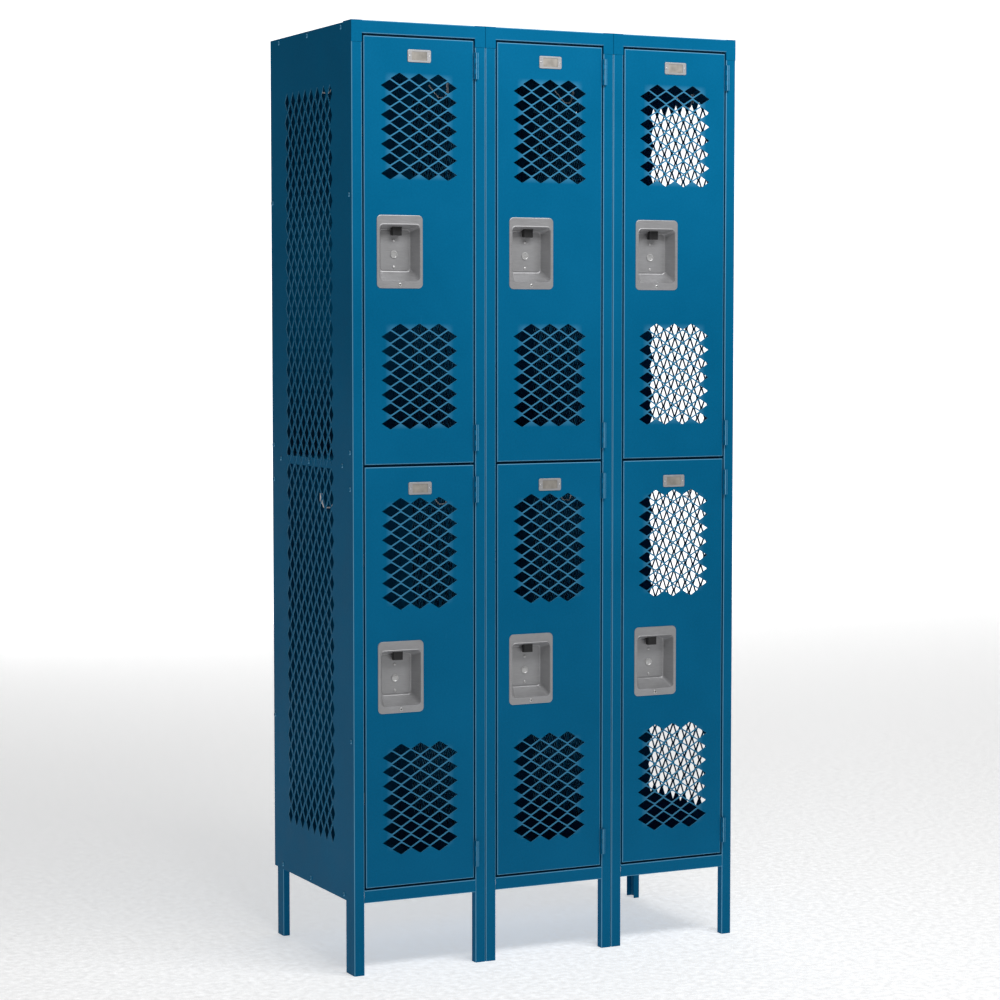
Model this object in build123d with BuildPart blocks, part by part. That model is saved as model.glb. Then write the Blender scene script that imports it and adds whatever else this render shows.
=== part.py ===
from build123d import *
import os

# Triple-unit, double-tier ventilated locker. Millimetres, +Z up.
# The origin is on the floor, under the middle of the whole cabinet.
# The doors face -Y and every door hangs on its right-hand edge.

# Driving dimensions
UNIT_WIDTH = 304.8
UNIT_NAMES = ("left", "middle", "right")
TIER_NAMES = ("upper", "lower")
DEPTH = 457.2
BODY_HEIGHT = 1828.8
LEG_HEIGHT = 152.4
TOTAL_HEIGHT = BODY_HEIGHT + LEG_HEIGHT

FRAME_SHEET = 1.5
BODY_SHEET = 1.0
SEAM = 1.0
HAIRLINE = 0.1
BEND_RADIUS = 1.8

# Front frame: folded uprights, a header, a sill and a rail behind the middle gap
FACE_WIDTH = 23.5
SIDE_FLANGE = 44.0
JAMB_DEPTH = 19.0
STRIKE_WIDTH = 13.0
RAIL_HEIGHT = 27.0
HEADER_TAB = 44.5
TAB_GAP = 0.5
MID_RAIL_DROP = 22.0
MID_RAIL_RISE = 7.0
MID_RAIL_LEDGE = 20.0

# Doors
EDGE_GAP = 3.6
END_GAP = 4.5
MIDDLE_GAP = 5.2
DOOR_SHEET = 1.5
DOOR_DEPTH = 14.0
DOOR_EDGE_RADIUS = 2.4

# Diamond vents in the doors
VENT_COLUMN_PITCH = 44.0
VENT_ROW_PITCH = 15.0
VENT_HALF_WIDTH = 20.8
VENT_HALF_HEIGHT = 11.6
VENT_HALF_TIP = 1.5
VENT_OFFSET = 258.0
VENT_ROWS = {"upper": 14, "lower": 15}

# Recessed handle cup, measured from its own centre
CUP_FROM_DOOR_EDGE = 80.0
CUP_WIDTH = 104.0
CUP_HEIGHT = 151.0
CUP_CORNER = 9.5
CUP_SHEET = 1.2
CUP_EDGE_RADIUS = 0.7
CUP_DEPTH = 27.0
RECESS_WIDTH = 89.0
RECESS_TOP = 54.9
RECESS_BOTTOM = -59.5
RECESS_CORNER = 8.0
RECESS_BACK_WIDTH = 70.0
RECESS_BACK_TOP = 47.0
RECESS_BACK_BOTTOM = -40.0
CUP_CUTOUT_MARGIN = 1.0

# Finger lift and lock bar, heights measured from the cup's centre
LIFT_WIDTH = 21.0
LIFT_BOTTOM = 34.0
LIFT_TOP = 54.0
LIFT_FRONT = 12.0
LIFT_BACK = 22.0
LIFT_NECK = 4.0
LIFT_TRAVEL = 10.0
SLIDE_GAP = 1.0
BAR_FRONT = 9.0
BAR_SHEET = 2.5
BAR_FROM_DOOR_EDGE = 8.0
BAR_WIDTH = 16.0
BAR_LENGTH = 700.0
ARM_BOTTOM = 60.0
ARM_TOP = 72.0
HOOK_OFFSET = 250.0
HOOK_HEIGHT = 30.0
HOOK_REACH = 1.8
GUIDE_OFFSET = 180.0
GUIDE_LENGTH = 20.0
GUIDE_SHEET = 1.2
CATCH_SHEET = 1.1

# Card holder on each door
PLATE_WIDTH = 53.0
PLATE_HEIGHT = 26.0
PLATE_THICKNESS = 1.6
PLATE_CORNER = 3.5
PLATE_DROP = {"upper": 37.0, "lower": 46.0}
WINDOW_WIDTH = 35.0
WINDOW_HEIGHT = 18.0
WINDOW_DEPTH = 0.9
WINDOW_CORNER = 1.0

# Five-knuckle hinges, two to a door
HINGE_HEIGHT = 55.0
HINGE_FROM_END = 52.0
KNUCKLE_COUNT = 5
KNUCKLE_RADIUS = 3.25
KNUCKLE_GAP = 0.3
PIN_RADIUS = 1.5
PIN_CLEARANCE = 0.05
LEAF_SHEET = 1.2
LEAF_DEPTH = 15.0
LEAF_FROM_PIVOT = 2.25
PIVOT_OVER_FACE = 2.4
PIVOT_FORWARD = 3.6

# Walls, shelves and the fittings on them
TRAY_LIP = 18.0
FLOOR_RISE = 20.0
BACK_LIP = 15.0
SHELF_RISE = 8.0
BUMPER_RADIUS = 5.0
BUMPER_LENGTH = 3.1
BUMPER_OFFSET = 380.0

# Coat hooks; the wire's bends are (reach from the wall, rise above its lowest height)
COAT_HOOK_DEPTH = 180.0
COAT_HOOK_DROPS = {"upper": 133.0, "lower": 104.0}
COAT_HOOK_BENDS = ((2.1, 17.0), (7.0, 0.0), (22.0, 0.0), (45.5, 26.0))
COAT_HOOK_BEND_RADIUS = 5.0
WIRE_RADIUS = 1.5
HOOK_PLATE_SHEET = 1.6
HOOK_PLATE_WIDTH = 10.0
HOOK_PLATE_RISE = (9.0, 31.0)

# Rear legs and fasteners
REAR_LEG_DEPTH = 35.0
REAR_LEG_WIDTH = 15.0
REAR_LEG_INSET = 10.0
SCREW_RADIUS = 2.5
SCREW_HEAD_RADIUS = 5.0
SCREW_HEAD_HEIGHT = 2.2
SCREW_HEAD_TAPER = 25.0
SCREW_FROM_FRONT = 15.2
SCREW_FROM_BACK = 8.0
SCREW_DROPS = (355.6, 886.5, 962.7, 1488.4)
SHELF_SCREW_DEPTHS = (60.0, 245.0, 408.0)
ANCHOR_HOLE_RADIUS = 3.5
ANCHOR_HEIGHTS = (400.0, 1850.0)

# Worked-out places
CABINET_WIDTH = UNIT_WIDTH * len(UNIT_NAMES)
HINGE_PROUD = PIVOT_FORWARD + KNUCKLE_RADIUS
FRONT = (HINGE_PROUD - DEPTH) / 2
BACK = FRONT + DEPTH
STRIKE_BACK = FRONT + JAMB_DEPTH
INSET = SEAM / 2
WALL_OUTER = INSET + FRAME_SHEET
WALL_INNER = WALL_OUTER + BODY_SHEET
JAMB_FACE = INSET + FACE_WIDTH
DOOR_WIDTH = UNIT_WIDTH - 2 * (JAMB_FACE + EDGE_GAP)
DOOR_HEIGHT = (BODY_HEIGHT - 2 * (RAIL_HEIGHT + END_GAP) - MIDDLE_GAP) / 2
DOOR_LEFT = JAMB_FACE + EDGE_GAP
MIDDLE_HEIGHT = LEG_HEIGHT + BODY_HEIGHT / 2
SHELF_TOP = MIDDLE_HEIGHT + SHELF_RISE
FLOOR_TOP = LEG_HEIGHT + FLOOR_RISE
ROOF_TOP = TOTAL_HEIGHT - FRAME_SHEET
DOOR_CENTRES = {
    "upper": MIDDLE_HEIGHT + (MIDDLE_GAP + DOOR_HEIGHT) / 2,
    "lower": MIDDLE_HEIGHT - (MIDDLE_GAP + DOOR_HEIGHT) / 2,
}
HINGE_OFFSET = DOOR_HEIGHT / 2 - HINGE_FROM_END
KNUCKLE_PITCH = HINGE_HEIGHT / KNUCKLE_COUNT
SIDE_SCREW_HEIGHTS = [TOTAL_HEIGHT - drop for drop in SCREW_DROPS]
TRAY_TOPS = (ROOF_TOP, SHELF_TOP, FLOOR_TOP)
TRAY_SCREW_HEIGHTS = [top - TRAY_LIP / 2 for top in TRAY_TOPS]


def unit_x(index):
    """Left edge of a unit."""
    return (index - len(UNIT_NAMES) / 2) * UNIT_WIDTH


def front_plane(x, depth, z):
    """A plane facing the user, `depth` behind the frame's face; its Y is up."""
    return Plane(origin=(x, FRONT + depth, z), x_dir=(1, 0, 0), z_dir=(0, -1, 0))


def side_plane(x):
    """A plane facing +X; its X runs to the back and its Y is up."""
    return Plane(origin=(x, 0, 0), x_dir=(0, 1, 0), z_dir=(1, 0, 0))


def slab(x_span, y_span, z_span, mode=Mode.ADD):
    """A block between two corners, given as three spans."""
    size = [high - low for low, high in (x_span, y_span, z_span)]
    with Locations((x_span[0], y_span[0], z_span[0])):
        Box(*size, align=(Align.MIN, Align.MIN, Align.MIN), mode=mode)


def save(piece, name):
    piece.part.label = name
    export_step(piece.part, f"parts/{name}.step")


def side_screw_places():
    """Every screw through a side wall, as a distance from FRONT and a height."""
    rows = [SCREW_FROM_FRONT, DEPTH - SCREW_FROM_BACK]
    edges = [(depth, height) for depth in rows for height in SIDE_SCREW_HEIGHTS]
    trays = [(depth, height) for depth in SHELF_SCREW_DEPTHS for height in TRAY_SCREW_HEIGHTS]
    return edges + trays


def drill_side(x, length, places):
    """Screw holes through a wall, drilled along X from the plane at x."""
    with BuildSketch(side_plane(x)) as holes:
        with Locations(*[(FRONT + depth, height) for depth, height in places]):
            Circle(SCREW_RADIUS)
    extrude(holes.sketch, amount=length, mode=Mode.SUBTRACT)


# Front frame
def make_upright(name, outer_x, inward):
    """A folded post that runs to the floor, and the flat strap that widens its side flange.

    `inward` is +1 on a unit's left and -1 on its right.
    """
    half = FRAME_SHEET / 2
    spine_x = outer_x + inward * half
    jamb_x = outer_x + inward * (FACE_WIDTH - half)
    strike_x = jamb_x + inward * (STRIKE_WIDTH + half)
    strike_y = STRIKE_BACK - half
    outer_span = sorted((outer_x, outer_x + inward * FRAME_SHEET))
    jamb_span = sorted((jamb_x - half, jamb_x + half))
    strike_span = sorted((jamb_x - inward * half, strike_x))
    face_top = TOTAL_HEIGHT - HEADER_TAB - TAB_GAP
    jamb_top = TOTAL_HEIGHT - RAIL_HEIGHT
    with BuildPart() as upright:
        with BuildSketch(Plane.XY):
            with BuildLine():
                FilletPolyline(
                    (spine_x, STRIKE_BACK),
                    (spine_x, FRONT + half),
                    (jamb_x, FRONT + half),
                    (jamb_x, strike_y),
                    radius=BEND_RADIUS,
                )
            trace(line_width=FRAME_SHEET)
        extrude(amount=face_top)
        slab(outer_span, (FRONT + FRAME_SHEET, STRIKE_BACK), (face_top, ROOF_TOP))
        slab(outer_span, (STRIKE_BACK + HAIRLINE, FRONT + SIDE_FLANGE), (0, ROOF_TOP))
        slab(jamb_span, (FRONT + FRAME_SHEET, STRIKE_BACK), (face_top, jamb_top))
        slab(
            strike_span,
            (STRIKE_BACK - FRAME_SHEET, STRIKE_BACK),
            (LEG_HEIGHT + RAIL_HEIGHT + STRIKE_WIDTH, jamb_top - STRIKE_WIDTH),
        )
        front_row = [(SCREW_FROM_FRONT, height) for height in SIDE_SCREW_HEIGHTS]
        drill_side(outer_span[0], FRAME_SHEET, front_row)
    save(upright, name)


def rail_profile(face_z, fold_z, up):
    """A rail's folded section, drawn from its strike lip round to its back flange."""
    half = FRAME_SHEET / 2
    inner = fold_z - up * half
    with BuildLine() as section:
        FilletPolyline(
            (STRIKE_BACK - half, fold_z + up * STRIKE_WIDTH),
            (STRIKE_BACK - half, inner),
            (FRONT + half, inner),
            (FRONT + half, face_z + up * half),
            (FRONT + SIDE_FLANGE, face_z + up * half),
            radius=BEND_RADIUS,
        )
    trace(section.edges(), line_width=FRAME_SHEET)


def make_headers():
    with BuildPart() as headers:
        for index in range(len(UNIT_NAMES)):
            left = unit_x(index)
            with BuildSketch(side_plane(left + JAMB_FACE)):
                rail_profile(TOTAL_HEIGHT, TOTAL_HEIGHT - RAIL_HEIGHT, -1)
            extrude(amount=UNIT_WIDTH - 2 * JAMB_FACE)
            for low in (INSET, UNIT_WIDTH - JAMB_FACE):
                tab = (left + low, left + low + FACE_WIDTH)
                slab(tab, (FRONT, FRONT + FRAME_SHEET), (TOTAL_HEIGHT - HEADER_TAB, TOTAL_HEIGHT))
                slab(tab, (FRONT, FRONT + SIDE_FLANGE), (ROOF_TOP, TOTAL_HEIGHT))
    save(headers, "headers")


def make_sills():
    with BuildPart() as sills:
        for index in range(len(UNIT_NAMES)):
            with BuildSketch(side_plane(unit_x(index) + JAMB_FACE)):
                rail_profile(LEG_HEIGHT, LEG_HEIGHT + RAIL_HEIGHT, 1)
            extrude(amount=UNIT_WIDTH - 2 * JAMB_FACE)
    save(sills, "sills")


def make_mid_rails():
    """A plate behind the gap between the doors, and a ledge that carries the shelf."""
    plate_top = MIDDLE_HEIGHT + MID_RAIL_RISE - FRAME_SHEET - HAIRLINE
    plate_z = (MIDDLE_HEIGHT - MID_RAIL_DROP, plate_top)
    ledge_z = (MIDDLE_HEIGHT + MID_RAIL_RISE - FRAME_SHEET, MIDDLE_HEIGHT + MID_RAIL_RISE)
    with BuildPart() as mid_rails:
        for index in range(len(UNIT_NAMES)):
            low = unit_x(index) + WALL_INNER
            width = (low, low + UNIT_WIDTH - 2 * WALL_INNER)
            slab(width, (STRIKE_BACK, STRIKE_BACK + FRAME_SHEET), plate_z)
            slab(width, (STRIKE_BACK, STRIKE_BACK + MID_RAIL_LEDGE), ledge_z)
    save(mid_rails, "mid_rails")


# Walls, back, roof, floor and shelves
def side_sheet(left):
    """One unit's side wall, with its outer face inside the posts' flanges."""
    front = FRONT + FRAME_SHEET + BEND_RADIUS
    slab((left, left + BODY_SHEET), (front, BACK), (LEG_HEIGHT, ROOF_TOP))
    drill_side(left, BODY_SHEET, side_screw_places())


def make_walls():
    right_wall = UNIT_WIDTH - WALL_INNER
    with BuildPart() as side_panel_left:
        side_sheet(unit_x(0) + WALL_OUTER)
    save(side_panel_left, "side_panel_left")
    for seam, side in ((1, "left"), (2, "right")):
        with BuildPart() as partition:
            side_sheet(unit_x(seam - 1) + right_wall)
            side_sheet(unit_x(seam) + WALL_OUTER)
        save(partition, f"partition_{side}")
    with BuildPart() as side_panel_right:
        side_sheet(unit_x(len(UNIT_NAMES) - 1) + right_wall)
    save(side_panel_right, "side_panel_right")


def make_back_panels():
    """A back sheet for each unit, between two strips that stand along its side walls."""
    with BuildPart() as back_panels:
        for index in range(len(UNIT_NAMES)):
            low = unit_x(index) + WALL_INNER
            high = unit_x(index) + UNIT_WIDTH - WALL_INNER
            sheet = (low + BODY_SHEET + HAIRLINE, high - BODY_SHEET - HAIRLINE)
            slab(sheet, (BACK - BODY_SHEET, BACK), (LEG_HEIGHT, ROOF_TOP))
            for edge in (low, high - BODY_SHEET):
                lip = (edge, edge + BODY_SHEET)
                slab(lip, (BACK - BACK_LIP, BACK), (LEG_HEIGHT, ROOF_TOP))
                back_row = [(DEPTH - SCREW_FROM_BACK, height) for height in SIDE_SCREW_HEIGHTS]
                drill_side(edge, BODY_SHEET, back_row)
            with BuildSketch(front_plane((low + high) / 2, DEPTH, 0)):
                with Locations(*[(0, height) for height in ANCHOR_HEIGHTS]):
                    Circle(ANCHOR_HOLE_RADIUS)
            extrude(amount=BODY_SHEET, mode=Mode.SUBTRACT)
    save(back_panels, "back_panels")


def tray(index, top, front):
    """A sheet that spans one unit, between two strips that hang along its side walls."""
    low = unit_x(index) + WALL_INNER
    high = unit_x(index) + UNIT_WIDTH - WALL_INNER
    lip_end = BACK - BACK_LIP - SLIDE_GAP
    sheet = (low + BODY_SHEET + HAIRLINE, high - BODY_SHEET - HAIRLINE)
    slab(sheet, (front, BACK - BODY_SHEET), (top - BODY_SHEET, top))
    tray_row = [(depth, top - TRAY_LIP / 2) for depth in SHELF_SCREW_DEPTHS]
    for edge in (low, high - BODY_SHEET):
        lip = (edge, edge + BODY_SHEET)
        slab(lip, (FRONT + SIDE_FLANGE, lip_end), (top - TRAY_LIP, top))
        drill_side(edge, BODY_SHEET, tray_row)


def make_trays():
    front = STRIKE_BACK + FRAME_SHEET
    for name, top in zip(("top_panels", "mid_shelves", "bottom_panels"), TRAY_TOPS):
        with BuildPart() as trays:
            for index in range(len(UNIT_NAMES)):
                tray(index, top, front)
        save(trays, name)


def make_rear_legs():
    """A folded channel under each outer rear corner, open towards the middle."""
    inner = WALL_INNER + BODY_SHEET
    high_y = BACK - REAR_LEG_INSET
    low_y = high_y - REAR_LEG_DEPTH
    half = FRAME_SHEET / 2
    with BuildPart() as rear_legs:
        for outer_x, inward in ((unit_x(0) + inner, 1), (-unit_x(0) - inner, -1)):
            spine = outer_x + inward * half
            tip = outer_x + inward * REAR_LEG_WIDTH
            with BuildSketch(Plane.XY):
                with BuildLine():
                    FilletPolyline(
                        (tip, low_y + half),
                        (spine, low_y + half),
                        (spine, high_y - half),
                        (tip, high_y - half),
                        radius=BEND_RADIUS,
                    )
                trace(line_width=FRAME_SHEET)
            extrude(amount=FLOOR_TOP - BODY_SHEET)
    save(rear_legs, "rear_legs")


# Doors
def door_centre(index, tier):
    return unit_x(index) + UNIT_WIDTH / 2, DOOR_CENTRES[tier]


def cup_centre(index, tier):
    return unit_x(index) + DOOR_LEFT + CUP_FROM_DOOR_EDGE, DOOR_CENTRES[tier]


def diamond_places(rows, offset):
    """Centres of a vent's diamonds: three to a row and four to the next."""
    places = []
    for row in range(rows):
        count = 3 + row % 2
        height = offset + ((rows - 1) / 2 - row) * VENT_ROW_PITCH
        places += [((col - (count - 1) / 2) * VENT_COLUMN_PITCH, height) for col in range(count)]
    return places


def bar_guide(left, z):
    """A staple on the door's inside that holds the lock bar down."""
    inner = BAR_FROM_DOOR_EDGE - SLIDE_GAP
    outer = BAR_FROM_DOOR_EDGE + BAR_WIDTH + SLIDE_GAP
    low = FRONT + DOOR_SHEET / 2
    top = FRONT + BAR_FRONT + BAR_SHEET + SLIDE_GAP
    span = (z - GUIDE_LENGTH / 2, z + GUIDE_LENGTH / 2)
    slab((left + inner - GUIDE_SHEET, left + inner), (low, top), span)
    slab((left + outer, left + outer + GUIDE_SHEET), (low, top), span)
    slab((left + inner - GUIDE_SHEET, left + outer + GUIDE_SHEET), (top, top + GUIDE_SHEET), span)


def make_door_panel(index, tier):
    x, z = door_centre(index, tier)
    cup_x, _ = cup_centre(index, tier)
    left = x - DOOR_WIDTH / 2
    hook_front = FRONT + BAR_FRONT - SLIDE_GAP
    hook_back = FRONT + BAR_FRONT + BAR_SHEET + SLIDE_GAP
    with BuildPart() as door_panel:
        with BuildSketch(front_plane(x, DOOR_DEPTH, z)):
            Rectangle(DOOR_WIDTH, DOOR_HEIGHT)
        extrude(amount=DOOR_DEPTH)
        fillet(door_panel.faces().sort_by(Axis.Y)[0].edges(), DOOR_EDGE_RADIUS)
        with BuildSketch(front_plane(x, DOOR_DEPTH, z)):
            Rectangle(DOOR_WIDTH - 2 * DOOR_SHEET, DOOR_HEIGHT - 2 * DOOR_SHEET)
        extrude(amount=DOOR_DEPTH - DOOR_SHEET, mode=Mode.SUBTRACT)
        with BuildSketch(front_plane(x, DOOR_SHEET, z)):
            places = diamond_places(VENT_ROWS[tier], VENT_OFFSET)
            places += diamond_places(VENT_ROWS[tier], -VENT_OFFSET)
            with Locations(*places):
                Polygon(
                    (-VENT_HALF_WIDTH, 0),
                    (-VENT_HALF_TIP, -VENT_HALF_HEIGHT),
                    (VENT_HALF_TIP, -VENT_HALF_HEIGHT),
                    (VENT_HALF_WIDTH, 0),
                    (VENT_HALF_TIP, VENT_HALF_HEIGHT),
                    (-VENT_HALF_TIP, VENT_HALF_HEIGHT),
                )
            with Locations((cup_x - x, (RECESS_TOP + RECESS_BOTTOM) / 2)):
                margin = 2 * (CUP_SHEET + CUP_CUTOUT_MARGIN)
                RectangleRounded(
                    RECESS_WIDTH + margin, RECESS_TOP - RECESS_BOTTOM + margin, RECESS_CORNER
                )
        extrude(amount=DOOR_SHEET, mode=Mode.SUBTRACT)
        for side in (-1, 1):
            hook_z = z + side * HOOK_OFFSET
            slot = (hook_z - HOOK_HEIGHT / 2 - SLIDE_GAP,
                    hook_z + HOOK_HEIGHT / 2 + LIFT_TRAVEL + SLIDE_GAP)
            slab((left, left + DOOR_SHEET), (hook_front, hook_back), slot, Mode.SUBTRACT)
            bar_guide(left, z + side * GUIDE_OFFSET)
    save(door_panel, f"{UNIT_NAMES[index]}_{tier}_door_panel")


def recess_sketch(x, z, depth, width, top, bottom, grow):
    """One rounded section of the cup's recess, grown outwards by `grow`."""
    with BuildSketch(front_plane(x, depth, z + (top + bottom) / 2)) as section:
        RectangleRounded(width + 2 * grow, top - bottom + 2 * grow, RECESS_CORNER + grow)
    return section.sketch


def recess_loft(x, z, grow, mode):
    """The tapered recess: wide at the door's face, narrow at its back."""
    mouth = recess_sketch(x, z, -CUP_SHEET, RECESS_WIDTH, RECESS_TOP, RECESS_BOTTOM, grow)
    back_top, back_bottom = RECESS_BACK_TOP, RECESS_BACK_BOTTOM
    back = recess_sketch(x, z, CUP_DEPTH + grow, RECESS_BACK_WIDTH, back_top, back_bottom, grow)
    loft([mouth, back], mode=mode)


def make_handle_cup(index, tier):
    x, z = cup_centre(index, tier)
    half_lift = LIFT_WIDTH / 2 + SLIDE_GAP
    with BuildPart() as handle_cup:
        with BuildSketch(front_plane(x, 0, z)):
            RectangleRounded(CUP_WIDTH, CUP_HEIGHT, CUP_CORNER)
        extrude(amount=CUP_SHEET)
        fillet(handle_cup.faces().sort_by(Axis.Y)[0].edges(), CUP_EDGE_RADIUS)
        recess_loft(x, z, CUP_SHEET, Mode.ADD)
        recess_loft(x, z, 0, Mode.SUBTRACT)
        slab(
            (x - half_lift, x + half_lift),
            (FRONT + LIFT_FRONT - SLIDE_GAP, FRONT + LIFT_BACK + SLIDE_GAP),
            (z + RECESS_BACK_TOP - SLIDE_GAP, z + RECESS_TOP + 2 * CUP_SHEET),
            Mode.SUBTRACT,
        )
    save(handle_cup, f"{UNIT_NAMES[index]}_{tier}_handle_cup")


def make_finger_lift(index, tier):
    """The moulded tab that hangs in the cup, with a neck up behind the lock bar's arm."""
    x, z = cup_centre(index, tier)
    half = LIFT_WIDTH / 2
    neck_front = FRONT + BAR_FRONT + BAR_SHEET
    with BuildPart() as finger_lift:
        lug_z = z + (LIFT_BOTTOM + LIFT_TOP) / 2
        with BuildSketch(front_plane(x, LIFT_BACK, lug_z)):
            RectangleRounded(LIFT_WIDTH, LIFT_TOP - LIFT_BOTTOM, CUP_SHEET)
        extrude(amount=LIFT_BACK - LIFT_FRONT)
        fillet(finger_lift.faces().sort_by(Axis.Y)[0].edges(), CUP_SHEET)
        slab(
            (x - half + CUP_SHEET, x + half - CUP_SHEET),
            (neck_front, neck_front + LIFT_NECK),
            (z + LIFT_TOP - CUP_SHEET, z + ARM_TOP),
        )
    save(finger_lift, f"{UNIT_NAMES[index]}_{tier}_finger_lift")


def make_lock_bar(index, tier):
    x, z = cup_centre(index, tier)
    left = unit_x(index) + DOOR_LEFT
    bar = (left + BAR_FROM_DOOR_EDGE, left + BAR_FROM_DOOR_EDGE + BAR_WIDTH)
    thickness = (FRONT + BAR_FRONT, FRONT + BAR_FRONT + BAR_SHEET)
    with BuildPart() as lock_bar:
        slab(bar, thickness, (z - BAR_LENGTH / 2, z + BAR_LENGTH / 2))
        slab((bar[0], x + LIFT_WIDTH / 2), thickness, (z + ARM_BOTTOM, z + ARM_TOP))
        for side in (-1, 1):
            hook_z = z + side * HOOK_OFFSET
            with BuildSketch(front_plane(0, BAR_FRONT + BAR_SHEET, hook_z)):
                Polygon(
                    (bar[0], -HOOK_HEIGHT / 2),
                    (bar[0], HOOK_HEIGHT / 2),
                    (left - HOOK_REACH, HOOK_HEIGHT / 4),
                    (left - HOOK_REACH, -HOOK_HEIGHT / 2),
                    align=None,
                )
            extrude(amount=BAR_SHEET)
    save(lock_bar, f"{UNIT_NAMES[index]}_{tier}_lock_bar")


def make_name_plate(index, tier):
    x, z = door_centre(index, tier)
    plate_z = z + DOOR_HEIGHT / 2 - PLATE_DROP[tier]
    with BuildPart() as name_plate:
        with BuildSketch(front_plane(x, 0, plate_z)):
            RectangleRounded(PLATE_WIDTH, PLATE_HEIGHT, PLATE_CORNER)
        extrude(amount=PLATE_THICKNESS)
        fillet(name_plate.faces().sort_by(Axis.Y)[0].edges(), PLATE_THICKNESS / 2)
        with BuildSketch(front_plane(x, -PLATE_THICKNESS, plate_z)):
            RectangleRounded(WINDOW_WIDTH, WINDOW_HEIGHT, WINDOW_CORNER)
        extrude(amount=-WINDOW_DEPTH, mode=Mode.SUBTRACT)
    save(name_plate, f"{UNIT_NAMES[index]}_{tier}_name_plate")


# Hinges
def pivot_place(index):
    """Plan position of a unit's hinge line."""
    x = unit_x(index) + UNIT_WIDTH - JAMB_FACE + PIVOT_OVER_FACE
    return x, FRONT - PIVOT_FORWARD


def knuckle_spans(bottom, first):
    """Heights of every second knuckle, starting from knuckle number `first`."""
    spans = []
    for number in range(first, KNUCKLE_COUNT, 2):
        low = bottom + number * KNUCKLE_PITCH
        spans.append((low + KNUCKLE_GAP / 2, low + KNUCKLE_PITCH - KNUCKLE_GAP / 2))
    return spans


def knuckle(x, y, span, bore):
    """One rolled knuckle round the pin."""
    for radius, mode in ((KNUCKLE_RADIUS, Mode.ADD), (bore, Mode.SUBTRACT)):
        with BuildSketch(Plane.XY.offset(span[0])) as ring:
            with Locations((x, y)):
                Circle(radius)
        extrude(ring.sketch, amount=span[1] - span[0], mode=mode)


def make_hinge_frame_leaves():
    with BuildPart() as frame_leaves:
        for index in range(len(UNIT_NAMES)):
            x, y = pivot_place(index)
            jamb = x - PIVOT_OVER_FACE
            leaf = (jamb - LEAF_SHEET, jamb)
            for z in hinge_heights():
                bottom = z - HINGE_HEIGHT / 2
                gap = (FRONT + KNUCKLE_GAP, FRONT + LEAF_DEPTH)
                slab(leaf, gap, (bottom, bottom + HINGE_HEIGHT))
                for span in knuckle_spans(bottom, 0):
                    slab(leaf, (y, FRONT + LEAF_DEPTH), span)
                    knuckle(x, y, span, PIN_RADIUS)
    save(frame_leaves, "hinge_frame_leaves")


def hinge_heights():
    """Centre heights of one unit's four hinges."""
    return [
        DOOR_CENTRES[tier] + side * HINGE_OFFSET for tier in TIER_NAMES for side in (1, -1)
    ]


def make_hinge_pins():
    with BuildPart() as hinge_pins:
        for index in range(len(UNIT_NAMES)):
            x, y = pivot_place(index)
            for z in hinge_heights():
                with BuildSketch(Plane.XY.offset(z - HINGE_HEIGHT / 2)):
                    with Locations((x, y)):
                        Circle(PIN_RADIUS)
                extrude(amount=HINGE_HEIGHT)
    save(hinge_pins, "hinge_pins")


def make_door_hinge_leaves(index, tier):
    x, y = pivot_place(index)
    edge = unit_x(index) + DOOR_LEFT + DOOR_WIDTH
    leaf = (edge, edge + LEAF_SHEET)
    reach = (y - LEAF_SHEET / 2, FRONT + DOOR_DEPTH)
    with BuildPart() as door_leaves:
        for side in (1, -1):
            z = DOOR_CENTRES[tier] + side * HINGE_OFFSET
            bottom = z - HINGE_HEIGHT / 2
            slab(leaf, reach, (bottom, bottom + HINGE_HEIGHT))
            for span in knuckle_spans(bottom, 1):
                slab((edge, x - LEAF_FROM_PIVOT), (reach[0], reach[0] + LEAF_SHEET), span)
                knuckle(x, y, span, PIN_RADIUS + PIN_CLEARANCE)
    save(door_leaves, f"{UNIT_NAMES[index]}_{tier}_hinge_leaves")


# Fittings on the cabinet
def make_frame_catches():
    """Small plates on the latch-side jambs, beside the lock bars' hooks."""
    with BuildPart() as frame_catches:
        for index in range(len(UNIT_NAMES)):
            jamb = unit_x(index) + JAMB_FACE
            for tier in TIER_NAMES:
                for side in (-1, 1):
                    z = DOOR_CENTRES[tier] + side * HOOK_OFFSET
                    span = (z - HOOK_HEIGHT / 2, z + HOOK_HEIGHT / 2)
                    depth = (FRONT + BAR_FRONT / 2, FRONT + BAR_FRONT - SLIDE_GAP)
                    slab((jamb, jamb + CATCH_SHEET), depth, span)
    save(frame_catches, "frame_catches")


def make_door_bumpers():
    """Rubber buttons on the strike flanges that the closed doors rest near."""
    with BuildPart() as door_bumpers:
        for index in range(len(UNIT_NAMES)):
            x = unit_x(index) + DOOR_LEFT + DOOR_SHEET
            for tier in TIER_NAMES:
                for side in (-1, 1):
                    z = DOOR_CENTRES[tier] + side * BUMPER_OFFSET
                    with BuildSketch(front_plane(x, JAMB_DEPTH - FRAME_SHEET, z)):
                        Circle(BUMPER_RADIUS)
                    extrude(amount=BUMPER_LENGTH)
    save(door_bumpers, "door_bumpers")


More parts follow.
